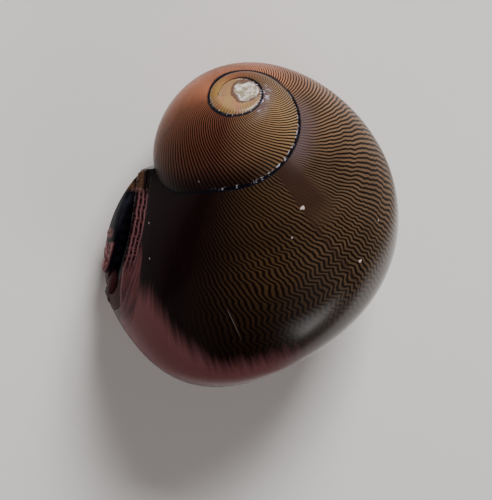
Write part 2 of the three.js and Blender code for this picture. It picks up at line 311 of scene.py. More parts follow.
def inside_oval(ring, point):
    dx, dy = point.x - ring.radius, point.y - ring.height
    c, s = math.cos(ring.lean), math.sin(ring.lean)
    return ((c * dx + s * dy) / ring.narrow) ** 2 + ((c * dy - s * dx) / ring.long) ** 2 < 1


def suture_angle(ring, before):
    """The angle on the oval where the whorl runs in under the whorl before it."""
    angle = 0.0
    while angle < SUTURE_LAST and not inside_oval(before, oval_point(ring, angle)):
        angle += SUTURE_STEP
    return angle


def bezier(a, b, c, d, share):
    rest = 1 - share
    return a * rest**3 + b * 3 * rest**2 * share + c * 3 * rest * share**2 + d * share**3


class Spot(NamedTuple):
    """One point of a whorl's half section, and where it lies on the whorl."""

    at: Vector
    angle: float
    beyond_suture: float
    above_next: float


def spots_along(points, angles, suture, next_start=None):
    """Adds each point's way from its own suture and its distance from the next whorl's start."""
    ways = [0.0]
    for before, point in zip(points, points[1:]):
        ways.append(ways[-1] + (point - before).length)
    start = max((w for w, a in zip(ways, angles) if a >= suture), default=0.0)
    return [
        Spot(p, a, w - start, (p - next_start).length if next_start else FAR_OFF)
        for p, a, w in zip(points, angles, ways)
    ]


def next_whorl_start(theta):
    """Where the whorl that follows lies against this one, in the half section."""
    following = ring_at(theta + TURN)
    return oval_point(following, suture_angle(following, ring_at(theta)))


def arc(ring, top, bottom, steps):
    angles = [top + (bottom - top) * i / steps for i in range(steps + 1)]
    return [oval_point(ring, angle) for angle in angles], angles


def body_section(theta, swollen):
    """Half section of the body whorl: from the axis out to the suture, round and over the base."""
    ring = closed_ring(theta, swollen)
    suture = suture_angle(ring, ring_at(theta - TURN))
    points, angles = arc(ring, suture + SUTURE_SINK, BASE_LEAVES_AT, BODY_STEPS)
    last = points[-1]
    along = (last - oval_point(ring, BASE_LEAVES_AT + SUTURE_STEP)).normalized()
    pole = Vector((0, -BASE_DEPTH))
    reach = (last - pole).length * BASE_FULLNESS
    slope = BASE_TILT * math.cos(theta - BASE_LOWEST_AT)
    towards = Vector((reach, -BASE_DEPTH - reach * slope))
    for i in range(1, BASE_STEPS + 1):
        share = i / BASE_STEPS
        points.append(bezier(last, last + along * reach, towards, pole, share))
        angles.append(BASE_LEAVES_AT - share)
    points.insert(0, Vector((0, BODY_CROWN)))
    angles.insert(0, angles[0])
    return spots_along(points, angles, suture)


def inner_section(theta, ring, suture, top, crown, foot, steps):
    points, angles = arc(ring, top, SPIRE_LEAVES_AT, steps)
    points = [Vector((0, crown)), *points, Vector((0, foot))]
    angles = [angles[0], *angles, angles[-1]]
    return spots_along(points, angles, suture, next_whorl_start(theta))


def spire_section(theta, swollen):
    ring = ring_at(theta, swollen)
    suture = suture_angle(ring, ring_at(theta - TURN, swollen))
    top = suture + SUTURE_SINK
    return inner_section(theta, ring, suture, top, SPIRE_CROWN, SPIRE_FOOT, SPIRE_STEPS)


def apex_section(theta, swollen):
    """The first whorl is worn flat from its crown to the axis."""
    ring = ring_at(theta, swollen)
    crown = math.atan2(ring.long * math.cos(ring.lean), ring.narrow * math.sin(ring.lean))
    return inner_section(theta, ring, crown, crown, APEX_CROWN, APEX_FOOT, APEX_STEPS)


def slanted(theta, angle):
    """The growth line that passes here, as an angle along the coil."""
    return theta - LINE_SLANT * math.tanh((angle - LINE_SLANT_AT) / LINE_SLANT_WIDTH)


def after_mark(theta, spot):
    """How far this place lies past the old growth mark, in radians along the coil."""
    return theta - MARK_AT - MARK_LEAN * spot.beyond_suture


def body_lines(theta, spot):
    """The number of the growth line here, counted with the lines' crowding."""
    growth = slanted(theta, spot.angle)
    more = math.log1p(math.exp((growth - LINES_MORE_AT) / LINES_MORE_WIDTH))
    crowd = math.erf((after_mark(theta, spot) + CROWD_BEFORE_MARK) / CROWD_WIDTH)
    return (
        LINES_BACK * growth
        + LINES_MORE * LINES_MORE_WIDTH * more
        + CROWDED * CROWD_WIDTH * math.sqrt(math.pi) / 2 * crowd
    )


def spire_lines(theta, spot):
    return SPIRE_LINES * slanted(theta, spot.angle)


def apex_lines(theta, spot):
    return APEX_LINES * theta


# Each stretch of the coil: its half section and growth lines, its two ends, and its steps to
# the turn of the coil
STRETCHES = {
    "apex": (apex_section, apex_lines, APEX_START, SPIRE_START, 160),
    "spire": (spire_section, spire_lines, SPIRE_START, BODY_START, 240),
    "early body": (body_section, body_lines, BODY_START, BODY_HALFWAY, 320),
    "late body": (body_section, body_lines, BODY_HALFWAY, BODY_END, 320),
}


def coil_solid(name, stretch, swollen=0.0):
    """A closed solid that a half section sweeps out round the axis along a stretch of the coil."""
    section, lines, start, end, turn_steps = STRETCHES[stretch]
    steps = round((end - start) / TURN * turn_steps)
    thetas = [start + (end - start) * i / steps for i in range(steps + 1)]
    rows = [section(theta, swollen) for theta in thetas]
    last = len(rows[0]) - 1
    bm = bmesh.new()
    layers = [bm.verts.layers.float.new(key) for key in PLACES]
    bmesh.ops.create_grid(bm, x_segments=steps, y_segments=last, size=1)
    ends = {0: {}, steps: {}}
    for vert in bm.verts:
        i = round((vert.co.x + 1) / 2 * steps)
        j = round((vert.co.y + 1) / 2 * last)
        spot, theta = rows[i][j], thetas[i]
        values = (theta, lines(theta, spot), after_mark(theta, spot), *spot[2:])
        for layer, value in zip(layers, values):
            vert[layer] = value
        vert.co = (spot.at.x * math.cos(theta), -spot.at.x * math.sin(theta), spot.at.y)
        if i in ends:
            ends[i][j] = vert
    for verts in ends.values():
        bm.faces.new([verts[j] for j in range(last + 1)])
    bmesh.ops.remove_doubles(bm, verts=bm.verts[:], dist=POLE_WELD)
    bmesh.ops.recalc_face_normals(bm, faces=bm.faces[:])
    return piece_from(bm, name)


def put_in_scene(name, data):
    thing = bpy.data.objects.new(name, data)
    bpy.context.scene.collection.objects.link(thing)
    return thing


def piece_from(bm, name):
    mesh = bpy.data.meshes.new(name)
    bm.to_mesh(mesh)
    bm.free()
    return put_in_scene(name, mesh)


def take_away(piece):
    mesh = piece.data
    bpy.data.objects.remove(piece)
    bpy.data.meshes.remove(mesh)


def combined(piece, operation, *others):
    """The piece with the others joined on or cut away, after which the others are gone."""
    for other in others:
        change = piece.modifiers.new("Join", "BOOLEAN")
        change.operation = operation
        change.object = other
        change.solver = "MANIFOLD"
        settle(piece)
        take_away(other)
    return piece


def cut(piece, *others):
    return combined(piece, "DIFFERENCE", *others)


def settle(piece):
    """Applies the piece's modifiers to its mesh."""
    graph = bpy.context.evaluated_depsgraph_get()
    done = bpy.data.meshes.new_from_object(piece.evaluated_get(graph))
    old = piece.data
    piece.modifiers.clear()
    piece.data = done
    bpy.data.meshes.remove(old)
    done.name = piece.name


def largest_shell(bm):
    """Leaves only the biggest connected surface."""
    unseen = set(bm.faces)
    shells = []
    while unseen:
        shell, fresh = set(), {next(iter(unseen))}
        while fresh:
            shell |= fresh
            edges = {edge for face in fresh for edge in face.edges}
            fresh = {face for edge in edges for face in edge.link_faces} - shell
        unseen -= shell
        shells.append(shell)
    keep = max(shells, key=lambda shell: sum(face.calc_area() for face in shell))
    bmesh.ops.delete(bm, geom=[face for face in bm.faces if face not in keep], context="FACES")


def finished(piece, node, material):
    """Lays the piece on the floor with the solids and hands it over."""
    bm = bmesh.new()
    bm.from_mesh(piece.data)
    bmesh.ops.remove_doubles(bm, verts=bm.verts[:], dist=WELD)
    largest_shell(bm)
    for face in bm.faces:
        face.smooth = True
    for edge in bm.edges:
        edge.smooth = len(edge.link_faces) == 2 and edge.calc_face_angle() < SHARP_ANGLE
    bmesh.ops.transform(bm, matrix=LYING, verts=bm.verts[:])
    bm.to_mesh(piece.data)
    bm.free()
    piece.data.materials.clear()
    piece.data.materials.append(material)
    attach(piece, "root")
    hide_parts(node)


def mouth_frame():
    """From the mouth's frame to the shell's: x towards the lip, y up to the spire, z out."""
    x = MOUTH_UP.cross(MOUTH_NORMAL).normalized()
    y = MOUTH_NORMAL.cross(x)
    turn = Matrix((x, y, MOUTH_NORMAL)).transposed().to_4x4()
    return turn @ Matrix.Translation((*MOUTH_CENTRE, MOUTH_DISTANCE))


def block(size, matrix):
    """A cube whose lowest face is centred on its origin, then placed."""
    bm = bmesh.new()
    lift = Matrix.Translation((0, 0, size / 2))
    bmesh.ops.create_cube(bm, size=size, matrix=matrix @ lift)
    return piece_from(bm, "block")


def beyond_mouth(offset):
    """A block that fills everything further out than this offset from the mouth plane."""
    return block(BLOCK_SIZE, mouth_frame() @ Matrix.Translation((0, 0, offset)))


def opening_outline(distance):
    """The opening drawn in all round; points that would cross at a corner drop out."""
    points = [bezier(*OPENING, i / OPENING_STEPS) for i in range(OPENING_STEPS + 1)]
    moved = []
    for before, point, after in zip(points[-1:] + points, points, points[1:] + points[:1]):
        arrive = (point - before).normalized()
        leave = (after - point).normalized()
        inward = Vector((arrive.y + leave.y, -arrive.x - leave.x))
        sharpness = max(SHARPEST, inward.length / 2)
        moved.append(point + inward.normalized() * distance / sharpness)

    def clear(point):
        for start, end in zip(points, points[1:] + points[:1]):
            edge = end - start
            share = min(max((point - start).dot(edge) / edge.length_squared, 0), 1)
            if (point - start - edge * share).length < distance - INSET_PLAY:
                return False
        return True

    return [point for point in moved if clear(point)]


def plate(name, drawn_in, top, bottom):
    """A plate that fills the opening, drawn in this far, between two heights."""
    bm = bmesh.new()
    face = bm.faces.new([bm.verts.new((*point, bottom)) for point in opening_outline(drawn_in)])
    rise = bmesh.ops.extrude_face_region(bm, geom=[face])
    verts = [item for item in rise["geom"] if isinstance(item, bmesh.types.BMVert)]
    bmesh.ops.translate(bm, vec=(0, 0, top - bottom), verts=verts)
    bmesh.ops.transform(bm, matrix=mouth_frame(), verts=bm.verts[:])
    bmesh.ops.recalc_face_normals(bm, faces=bm.faces[:])
    return piece_from(bm, name)


def deck_side(offset):
    """A block over the deck's side of the opening's straight edge, set off from it."""
    half = SIDE_BLOCK_SIZE / 2
    matrix = (
        mouth_frame()
        @ Matrix.Translation((*OPENING_TOP, 0))
        @ Matrix.Rotation(EDGE_TURN, 4, "Z")
        @ Matrix.Translation((0, -offset - half, -half))
    )
    return block(SIDE_BLOCK_SIZE, matrix)


def pocket():
    """What fills the opening, from in front of the mouth down to the foot's bed."""
    return plate("pocket", 0, POCKET_TOP, -POCKET_DEPTH)


def shoulder_cut():
    """What is taken off above the mouth, so that its top corner is round."""
    bm = bmesh.new()
    spread = Matrix.Diagonal((SHOULDER_LENGTH, SHOULDER_RADIUS, SHOULDER_RADIUS, 1))
    matrix = mouth_frame() @ Matrix.Translation(SHOULDER_CENTRE) @ spread
    bmesh.ops.create_uvsphere(
        bm, u_segments=SHOULDER_SEGMENTS, v_segments=SHOULDER_SEGMENTS, radius=1, matrix=matrix)
    round_off = piece_from(bm, "round")
    bm = bmesh.new()
    half = SHOULDER_RADIUS / 2
    box = Matrix.Diagonal((SHOULDER_BLOCK_LENGTH, SHOULDER_RADIUS, SHOULDER_RADIUS, 1))
    middle = Matrix.Translation(SHOULDER_FROM + Vector((0, half, half)))
    bmesh.ops.create_cube(bm, size=1, matrix=mouth_frame() @ middle @ box)
    return cut(piece_from(bm, "shoulder"), round_off)


class Wire:
    """A node's output that Python's arithmetic signs work on."""

    def __init__(self, finish, socket):
        self.finish = finish
        self.socket = socket

    def __add__(self, other):
        return self.finish.math("ADD", self, other)

    __radd__ = __add__

    def __sub__(self, other):
        return self.finish.math("SUBTRACT", self, other)

    def __rsub__(self, other):
        return self.finish.math("SUBTRACT", other, self)

    def __mul__(self, other):
        return self.finish.math("MULTIPLY", self, other)

    __rmul__ = __mul__

    def __truediv__(self, other):
        return self.finish.math("DIVIDE", self, other)

    def __rtruediv__(self, other):
        return self.finish.math("DIVIDE", other, self)

    def at_least(self, other):
        return self.finish.math("MAXIMUM", self, other)

    def at_most(self, other):
        return self.finish.math("MINIMUM", self, other)

    def sine(self):
        """The sine of so many turns."""
        return self.finish.math("SINE", self * TURN)

    def between(self, low, high, from_value=0.0, to_value=1.0):
        """Goes smoothly from one value to the other as this passes from low to high."""
        inputs = dict(enumerate((self, low, high, from_value, to_value)))
        settings = {"interpolation_type": "SMOOTHSTEP"}
        return self.finish.node("ShaderNodeMapRange", settings, inputs)

    def stretch(self, start, full, full_to, end):
        """One over a stretch, with a soft rise before it and a soft fall after it."""
        return self.between(start, full) * self.between(end, full_to)


def rgba(colour):
    return (*colour[:3], 1.0)


class Finish:
    """A material under construction."""

    def __init__(self, name):
        self.material = bpy.data.materials.new(name)
        self.material.use_nodes = True
        self.tree = self.material.node_tree
        self.tree.nodes.clear()
        self.looks = bpy.context.scene.nerite_looks

    def node(self, kind, settings=None, inputs=None, output=0):
        made = self.tree.nodes.new(kind)
        for key, value in (settings or {}).items():
            if key == "stops":
                self.set_stops(made.color_ramp, value)
            else:
                setattr(made, key, value)
        for key, value in (inputs or {}).items():
            if isinstance(value, Wire):
                self.tree.links.new(value.socket, made.inputs[key])
            else:
                made.inputs[key].default_value = value
        return Wire(self, made.outputs[output]) if made.outputs else None

    def set_stops(self, ramp, stops):
        while len(ramp.elements) < len(stops):
            ramp.elements.new(1.0)
        for element, (position, colour) in zip(ramp.elements, stops):
            element.position = position
            element.color = rgba(colour)

    def ramp(self, factor, *stops):
        return self.node("ShaderNodeValToRGB", {"stops": stops}, {"Fac": factor})

    def math(self, operation, *values):
        return self.node("ShaderNodeMath", {"operation": operation}, dict(enumerate(values)))

    def attribute(self, name):
        return self.node("ShaderNodeAttribute", {"attribute_name": name}, output="Fac")

    def place(self):
        return self.node("ShaderNodeTexCoord", output="Object")

    def measured(self, operation, vector):
        """The place's distance from this one, or how far it lies along this direction, in mm."""
        inputs = {0: self.place(), 1: vector}
        return self.node("ShaderNodeVectorMath", {"operation": operation}, inputs, "Value") / MM

    def texture(self, vector, scale, detail):
        inputs = {"Vector": vector, "Scale": scale, "Detail": detail, "Roughness": NOISE_ROUGHNESS}
        return self.node("ShaderNodeTexNoise", None, inputs, "Fac")

    def noise(self, detail, x, y, z=0.0):
        """Noise that changes with these measures of a place instead of with the place itself."""
        vector = self.node("ShaderNodeCombineXYZ", None, {"X": x, "Y": y, "Z": z})
        return self.texture(vector, 1.0, detail)

    def grain(self, detail, scale):
        """Noise in space, with about so many bumps to the metre."""
        return self.texture(self.place(), scale, detail)

    def mixed(self, factor, first, second):
        colours = [one if isinstance(one, Wire) else rgba(one) for one in (first, second)]
        inputs = {0: factor, 6: colours[0], 7: colours[1]}
        return self.node("ShaderNodeMix", {"data_type": "RGBA"}, inputs, 2)

    def layered(self, colour, *layers):
        """The colour with others laid over it in turn, each where and as far as its mask says."""
        for mask, over in layers:
            colour = self.mixed(mask, colour, over)
        return colour

    def surface(self, bump=None, bump_distance=0.02 * MM, **inputs):
        sockets = {key.replace("_", " "): value for key, value in inputs.items()}
        if bump is not None:
            heights = {"Height": bump, "Distance": bump_distance, "Strength": 1.0}
            sockets["Normal"] = self.node("ShaderNodeBump", None, heights)
        shader = self.node("ShaderNodeBsdfPrincipled", None, sockets)
        self.node("ShaderNodeOutputMaterial", None, {"Surface": shader})
        return self.material


def in_mouth(make):
    """The place in the mouth's frame, in mm, as three wires."""
    frame_at = LYING @ mouth_frame()
    origin = frame_at.translation
    axes = frame_at.to_3x3().transposed()
    return [make.measured("DOT_PRODUCT", axis) - axis.dot(origin) / MM for axis in axes]


def near(make, place, radius):
    """A ragged spot of this radius round a place in the row's frame, both in mm."""
    ragged = (make.grain(3, 4500) - 0.5) * SPOT_RAGGEDNESS
    away = make.measured("DISTANCE", Vector(place) * MM) + ragged * radius
    return away.between(radius, radius / 2)


def wavy_lines(make, line, beyond, zigzag, calm=1.0):
    """Black growth lines that wander together, with a zigzag where it is asked for."""
    looks = make.looks
    wander = make.noise(1, beyond * 0.9, line * 0.07) - 0.5
    rough = make.noise(1, beyond * 2.2, line * 0.35) - 0.5
    drift = make.noise(1, beyond * 0.2, line * 0.05) * ZIGZAG_DRIFT
    bends = make.math("PINGPONG", beyond / ZIGZAG_HALF + drift, 1.0) - 0.5
    wave = (wander * looks.wave_height + rough * ROUGH_HEIGHT) * calm
    return (line + wave + bends * zigzag).sine().between(*LINE_EDGE)


def specks(make, share):
    """Scattered dots of dust: this share of the cells that fill space has one."""
    cells = {"Vector": make.place(), "Scale": SPECK_CELLS}
    away = make.node("ShaderNodeTexVoronoi", None, cells, "Distance")
    which = make.node("ShaderNodeTexVoronoi", None, cells, "Color")
    chosen = make.node("ShaderNodeSeparateColor", None, {0: which})
    dots = away.between(SPECK_SIZE, SPECK_SIZE / 2)
    return dots * chosen.between(1 - share, 1.01 - share)


# In the finishes theta and after are in radians along the coil, line counts growth lines, and
# the other measures are in mm: beyond the whorl's own suture, above the start of the next
# whorl, and x, y and z in the mouth's frame. A mask times a number covers only that far.


def body_finish(name):
    """Olive last whorl, orange-brown far back and nearly black towards the lip."""
    make = Finish(name)
    looks = make.looks
    line = make.attribute("line")
    theta = make.attribute("theta")
    after = make.attribute("after_mark")
    beyond = make.attribute("beyond_suture") / MM
    x, y, z = in_mouth(make)

    plain = theta.between(-0.95, -0.6)
    early = theta.between(-6.0, -4.5, 0.3, 1.0)
    patchy = make.noise(4, beyond * 0.3, line * 0.06)
    low = beyond.between(6.0, 13.0) * theta.between(-2.3, -1.4)
    smooth_patch = after.stretch(-0.34, -0.2, -0.03, 0.02) * beyond.between(6.5, 3.5)
    zigzag = beyond.between(3.5, 7.0) * theta.stretch(-2.5, -1.7, -1.4, -0.9)
    calm = theta.between(-3.4, -2.0, 0.3, 1.0)
    lines = wavy_lines(make, line, beyond, zigzag * looks.zigzag, calm)
    lines = lines * ((1 - smooth_patch * 0.85) * (1 - plain * 0.9) * early)

    mark = after.stretch(-0.035, -0.01, 0.0, 0.02) * beyond.between(14.0, 9.0)
    # Painted highlight: purple-grey beside the suture, where the light's soft highlight falls
    painted_highlight = beyond.between(2.2, 0.2) * theta.stretch(-3.3, -2.7, -2.2, -1.75)
    streak = make.noise(3, beyond * 0.12, line)
    faint = streak.between(0.5, 0.75) * plain
    lower = (-0.5 - theta).at_least(0.0) * 11.0
    base_from = (8.0 + lower).at_most(13.0) + (streak - 0.5) * 2.4
    # Painted reflection: a mauve band on the base by the lip, standing in for the surroundings
    # mirrored in the glossy shell
    painted_reflection = (
        (beyond - base_from).between(-0.3, 2.2) * theta.between(-1.7, -1.2)
        * beyond.between(19.0, 15.0))
    scratch = make.noise(1, beyond * 0.14, line * 2.2)
    scratched = (
        scratch.between(0.68, 0.76) * theta.stretch(-1.2, -1.0, -0.7, -0.5)
        * beyond.between(6.0, 9.0))
    far_side = theta.stretch(-5.6, -4.6, -3.7, -3.1)
    seam = (beyond - far_side * 0.4).between(0.3, 0.12)
    margin = lip_band(y, z).between(-0.04, 0.04) * y.stretch(-7.4, -6.0, -1.6, -0.4)
    # Painted shade: dark red-brown low beside the band's inner side, as on the lip
    inner = inside_band(x, y, z).between(0.03, -0.03) * y.between(-2.2, -2.8) * z.between(-2.5, -2.0)
    front_rim = beyond.between(10.5, 13.0) * theta.between(-1.2, -1.7)
    glossy_rim = front_rim.at_least(beyond.between(15.0, 17.5))

    ground = make.ramp(
        (theta + TURN) / (TURN + BODY_RAMP_END),
        (0.0, looks.shoulder),
        (0.04, looks.shoulder),
        (0.14, looks.warm),
        (0.30, looks.warm),
        (0.44, looks.ground),
        (0.56, looks.olive),
        (0.68, looks.middle),
        (0.76, looks.dark),
        (1.0, looks.dark),
    )
    colour = make.layered(
        ground,
        (patchy.between(0.35, 0.75) * 0.35, looks.line),
        (low * 0.75, looks.line),
        (smooth_patch * 0.8, looks.mark),
        (lines * 0.96, looks.line),
        (mark * 0.5, looks.mark),
        (painted_highlight * 0.55, looks.painted_highlight),
        (faint * 0.35, looks.streak),
        # The painted reflection on the base by the lip
        (painted_reflection * 0.9, looks.painted_reflection),
        (scratched * 0.3, looks.fleck),
        (seam, looks.seam),
        (specks(make, 0.16) * 0.6, looks.fleck),
        *((near(make, place, radius), looks.fleck) for place, radius in PALE_FLECKS),
        *((near(make, place, radius), looks.line) for place, radius in BLACK_PITS),
        (margin, band_colour(make, y, z)[0]),
        (inner, looks.painted_low_shade),
    )
    return make.surface(
        bump=lines * 0.6 + make.grain(3, 2500) * 0.4, bump_distance=0.005 * MM,
        Base_Color=colour, Roughness=patchy.between(0.3, 0.7, 0.24, 0.34) - plain * 0.07,
        Specular_IOR_Level=SHELL_SHINE, Coat_Weight=glossy_rim, Coat_Roughness=0.2, Coat_IOR=1.7)


def spire_finish(name):
    """The whorl above: warm brown on its left, olive on its right, with finer lines."""
    make = Finish(name)
    looks = make.looks
    theta = make.attribute("theta")
    above = make.attribute("above_next") / MM
    beyond = make.attribute("beyond_suture") / MM

    low = above.between(2.6, 0.3) * theta.between(-8.4, -7.4)
    lines = wavy_lines(make, make.attribute("line"), beyond, 0.0, 0.4)
    faded = theta.between(-6.4, -5.9) + theta.between(-10.6, -11.8) * 1.4
    # Painted highlight: purple-grey beside the suture below the apex, where the light's soft
    # highlight falls; pale chips lie in it
    painted_highlight = beyond.between(1.5, 0.1) * theta.stretch(-9.8, -9.0, -8.4, -7.7)
    worn = painted_highlight * make.grain(4, 3500).between(0.56, 0.66) * beyond.between(1.0, 0.4)
    ragged = make.noise(3, theta * 14.0, above * 3.0)
    chips = (
        above.stretch(0.08, 0.12, 0.17, 0.24) * ragged.between(0.5, 0.58)
        * theta.between(-6.9, -7.3))
    rim = beyond.between(0.28, 0.1) * theta.between(-11.2, -10.0)

    ground = make.ramp(
        (theta + 2 * TURN) / TURN,
        (0.0, looks.worn),
        (0.12, looks.worn),
        (0.26, looks.worn_shade),
        (0.45, looks.ground),
        (0.62, looks.spire),
        (0.88, looks.spire_left),
        (1.0, looks.shoulder),
    )
    colour = make.layered(
        ground,
        (low * 0.85, looks.dark),
        (lines * (0.97 - faded * 0.6), looks.line),
        (painted_highlight * 0.75, looks.painted_highlight),
        (worn * 0.7, looks.chip),
        (specks(make, 0.12) * 0.5, looks.fleck),
        (above.between(0.18, 0.1), looks.seam),
        (chips * 0.85, looks.chip),
        (rim, looks.seam),
    )
    return make.surface(
        bump=lines * 0.5 + chips * 2, bump_distance=0.01 * MM, Base_Color=colour, Roughness=0.34,
        Specular_IOR_Level=SHELL_SHINE)


def apex_finish(name):
    """Worn first whorl: tan with dark spokes round a chalky eroded middle."""
    make = Finish(name)
    looks = make.looks
    line = make.attribute("line")
    theta = make.attribute("theta")
    above = make.attribute("above_next") / MM

    broad = make.noise(3, line * 0.6, above * 0.5)
    tan = make.mixed(broad.between(0.4, 0.7), looks.worn, looks.worn_shade)
    spokes = line.sine().between(0.0, 0.8) * above.between(1.2, 0.2)
    edge = make.grain(4, 1400) - 0.5
    outside = make.measured("DISTANCE", CORE_AT) + edge * 0.7 - CORE_RADIUS
    core = outside.between(0.0, -0.15)
    rim = outside.stretch(-0.16, -0.06, 0.03, 0.14)
    chalk = make.grain(4, 2600)
    pale = make.mixed(chalk.between(0.4, 0.62), looks.chalk, looks.chalk_shade)
    seam = above.between(0.14, 0.07) * theta.between(-17.4, -16.2)
    ragged = make.noise(3, line * 1.6, above * 3.0)
    chips = above.between(0.2, 0.12) * ragged.between(0.56, 0.64)
    colour = make.layered(
        tan,
        (spokes * 0.75, looks.spoke),
        (core, pale),
        (rim * 0.85, looks.core_rim),
        (seam, looks.seam),
        (chips * 0.7, looks.chip),
    )
    return make.surface(
        bump=chalk * core * 2 + rim * 1.5 + edge, bump_distance=0.03 * MM, Base_Color=colour,
        Roughness=core.between(0.0, 1.0, 0.42, 0.3))


def lip_band(y, z):
    """How far a place lies inside the outer edge of the lip's band, in mm."""
    return z + 0.62 + (y * -1.0).at_least(0.0) * 0.12


def inside_band(x, y, z):
    """How far a place low on the lip lies from the band's pale inner edge, in mm."""
    return x * 0.19 + y * 0.177 - z + 0.27 - (y + 4.4).at_least(0.0) * 0.12


def band_colour(make, y, z):
    """Brown of the lip's band with fine streaks along it, and the streaks by themselves."""
    looks = make.looks
    streaks = make.noise(3, y * 0.5, z * 9.0)
    return make.mixed(streaks.between(0.35, 0.65), looks.lip, looks.lip_shade), streaks


def corner_colour(make, y, z):
    """The mouth's top corner: dark shell with an olive-brown lump that has a pinkish edge."""
    looks = make.looks
    mottle = make.grain(4, 1500)
    olive = (z + (mottle - 0.5) * 0.5).between(-0.36, -0.24)
    hem = (y + mottle).stretch(3.55, 3.65, 3.75, 3.9) * olive
    return make.layered(
        looks.dark,
        (olive, looks.lump),
        (mottle.between(0.5, 0.65), looks.dark),
        (hem * 0.7, looks.lip_pale),
    )


def lip_finish(name):
    """Pinkish-brown strands along the lip with slits between them, plainer lower down."""
    make = Finish(name)
    looks = make.looks
    x, y, z = in_mouth(make)
    upper = y.between(-3.2, -1.8)
    low = y.between(-2.2, -2.8)
    sway = make.noise(3, y * 1.4, z * 0.8) - 0.5
    strands = (z / STRAND + sway * 0.9).sine()
    ridge = strands.between(0.2, 0.9) * upper
    gaps = make.noise(2, y * 4.5, z * 2.0)
    slits = strands.between(0.3, -0.5) * gaps.between(0.38, 0.5)
    dark = slits * (upper * 0.9 + 0.08)
    inner = inside_band(x, y, z)
    brown, streaks = band_colour(make, y, z)
    colour = make.layered(
        brown,
        (ridge * 0.6, looks.lip_pale),
        (dark, looks.slit_and_shade),
        (inner.between(0.16, 0.07) * low, looks.lip_pale),
        # Painted shade: dark red-brown on the band's inner side, low on the lip
        (inner.between(0.03, -0.03) * low, looks.painted_low_shade),
        # Painted shade: the lip's front face, turned out of the mouth, is given the dark of the
        # slits
        (z.between(-0.07, -0.02), looks.slit_and_shade),
        ((y + sway * 1.2).between(2.9, 3.25), corner_colour(make, y, z)),
    )
    return make.surface(
        bump=ridge + streaks - dark * 1.5, bump_distance=0.05 * MM, Base_Color=colour,
        Roughness=dark.between(0.0, 0.6, 0.42, 0.8), Specular_IOR_Level=MOUTH_SHINE)


def deck_finish(name):
    """Callus in blue-black painted shade with faint blotches, dark red painted shade towards its far
    edge.
    """
    make = Finish(name)
    looks = make.looks
    x, y, z = in_mouth(make)
    blotch = make.noise(4, y * 0.6, x * 0.9, z * 1.2)
    blotches = blotch.between(0.5, 0.7) * y.between(-0.6, 1.2)
    # Painted shade: the deck's far edge is coloured dark red
    far = (x + (make.noise(2, y * 0.8, 0.0) - 0.5) * 1.5).between(-2.6, -3.8)
    # Painted shade: the deck's lower end, which faces the light, is coloured dark red-brown
    low = (y + (make.noise(2, x * 0.8, 0.0) - 0.5) * 0.8).between(-2.6, -3.6)
    fold = make.noise(3, y * 2.0, x * 1.5, z * 5.0)
    lobe = make.mixed(fold.between(0.42, 0.6), looks.lobe, looks.lobe_shade)
    raised = (z + (fold - 0.5) * 0.5).between(0.2, 0.42)
    lobes = raised * y.stretch(-3.4, -3.0, -1.1, -0.7)
    bumps = z.between(0.45, 0.55) * y.stretch(-0.7, -0.3, 0.1, 0.4)
    colour = make.layered(
        looks.deck,
        (blotches, looks.deck_blotch),
        (far * 0.85, looks.painted_rim_shade),
        (low * 0.8, looks.painted_low_shade),
        (lobes, lobe),
        (bumps * 0.6, lobe),
        (y.between(3.1, 3.5), corner_colour(make, y, z)),
    )
    return make.surface(
        bump=blotch + make.grain(3, 1600) * 0.5 + lobes * fold * 2, bump_distance=0.04 * MM,
        Base_Color=colour, Roughness=x.between(-1.8, -0.8, 0.4, 0.9),
        Specular_IOR_Level=MOUTH_SHINE)


def plain_finish(name, colour, roughness):
    """A smooth dark finish of one colour, a little uneven."""
    make = Finish(name)
    tone = make.grain(4, 900)
    shade = [part * 0.6 for part in colour]
    return make.surface(
        bump=tone, Base_Color=make.mixed(tone.between(0.3, 0.7), colour, shade),
        Roughness=roughness, Specular_IOR_Level=0.2)


def length(label, about, millimetres):
    return FloatProperty(
        name=label, description=about, default=millimetres * MM, unit="LENGTH", precision=5)


class NeriteSizes(bpy.types.PropertyGroup):
    """Driving sizes of the shell and the mouth."""

    ring_radius: length("Ring radius", "From the axis to the last whorl's middle", 6.09)
    ring_drop: length("Ring drop", "From the apex down to the last whorl's middle", 11.73)
    oval_narrow: length("Oval half width", "Narrow half axis of the last whorl", 4.77)
    oval_long: length("Oval half length", "Long half axis of the last whorl", 10.29)
    lip_thickness: length("Lip thickness", "How deep the pale edge of the lip is", 0.6)
    deck_rise: length("Deck rise", "How far the deck bulges out of the mouth", 0.55)
    teeth: IntProperty(
        name="Teeth", description="Small teeth along the deck's edge", default=6, min=0)
    tooth_radius: length("Tooth radius", "Radius of a tooth", 0.36)
    lid_thickness: length("Lid thickness", "Thickness of the lid", 0.8)


def swatch(label, about, red, green, blue):
    return FloatVectorProperty(
        name=label, description=about, default=(red, green, blue), subtype="COLOR", min=0, max=1)


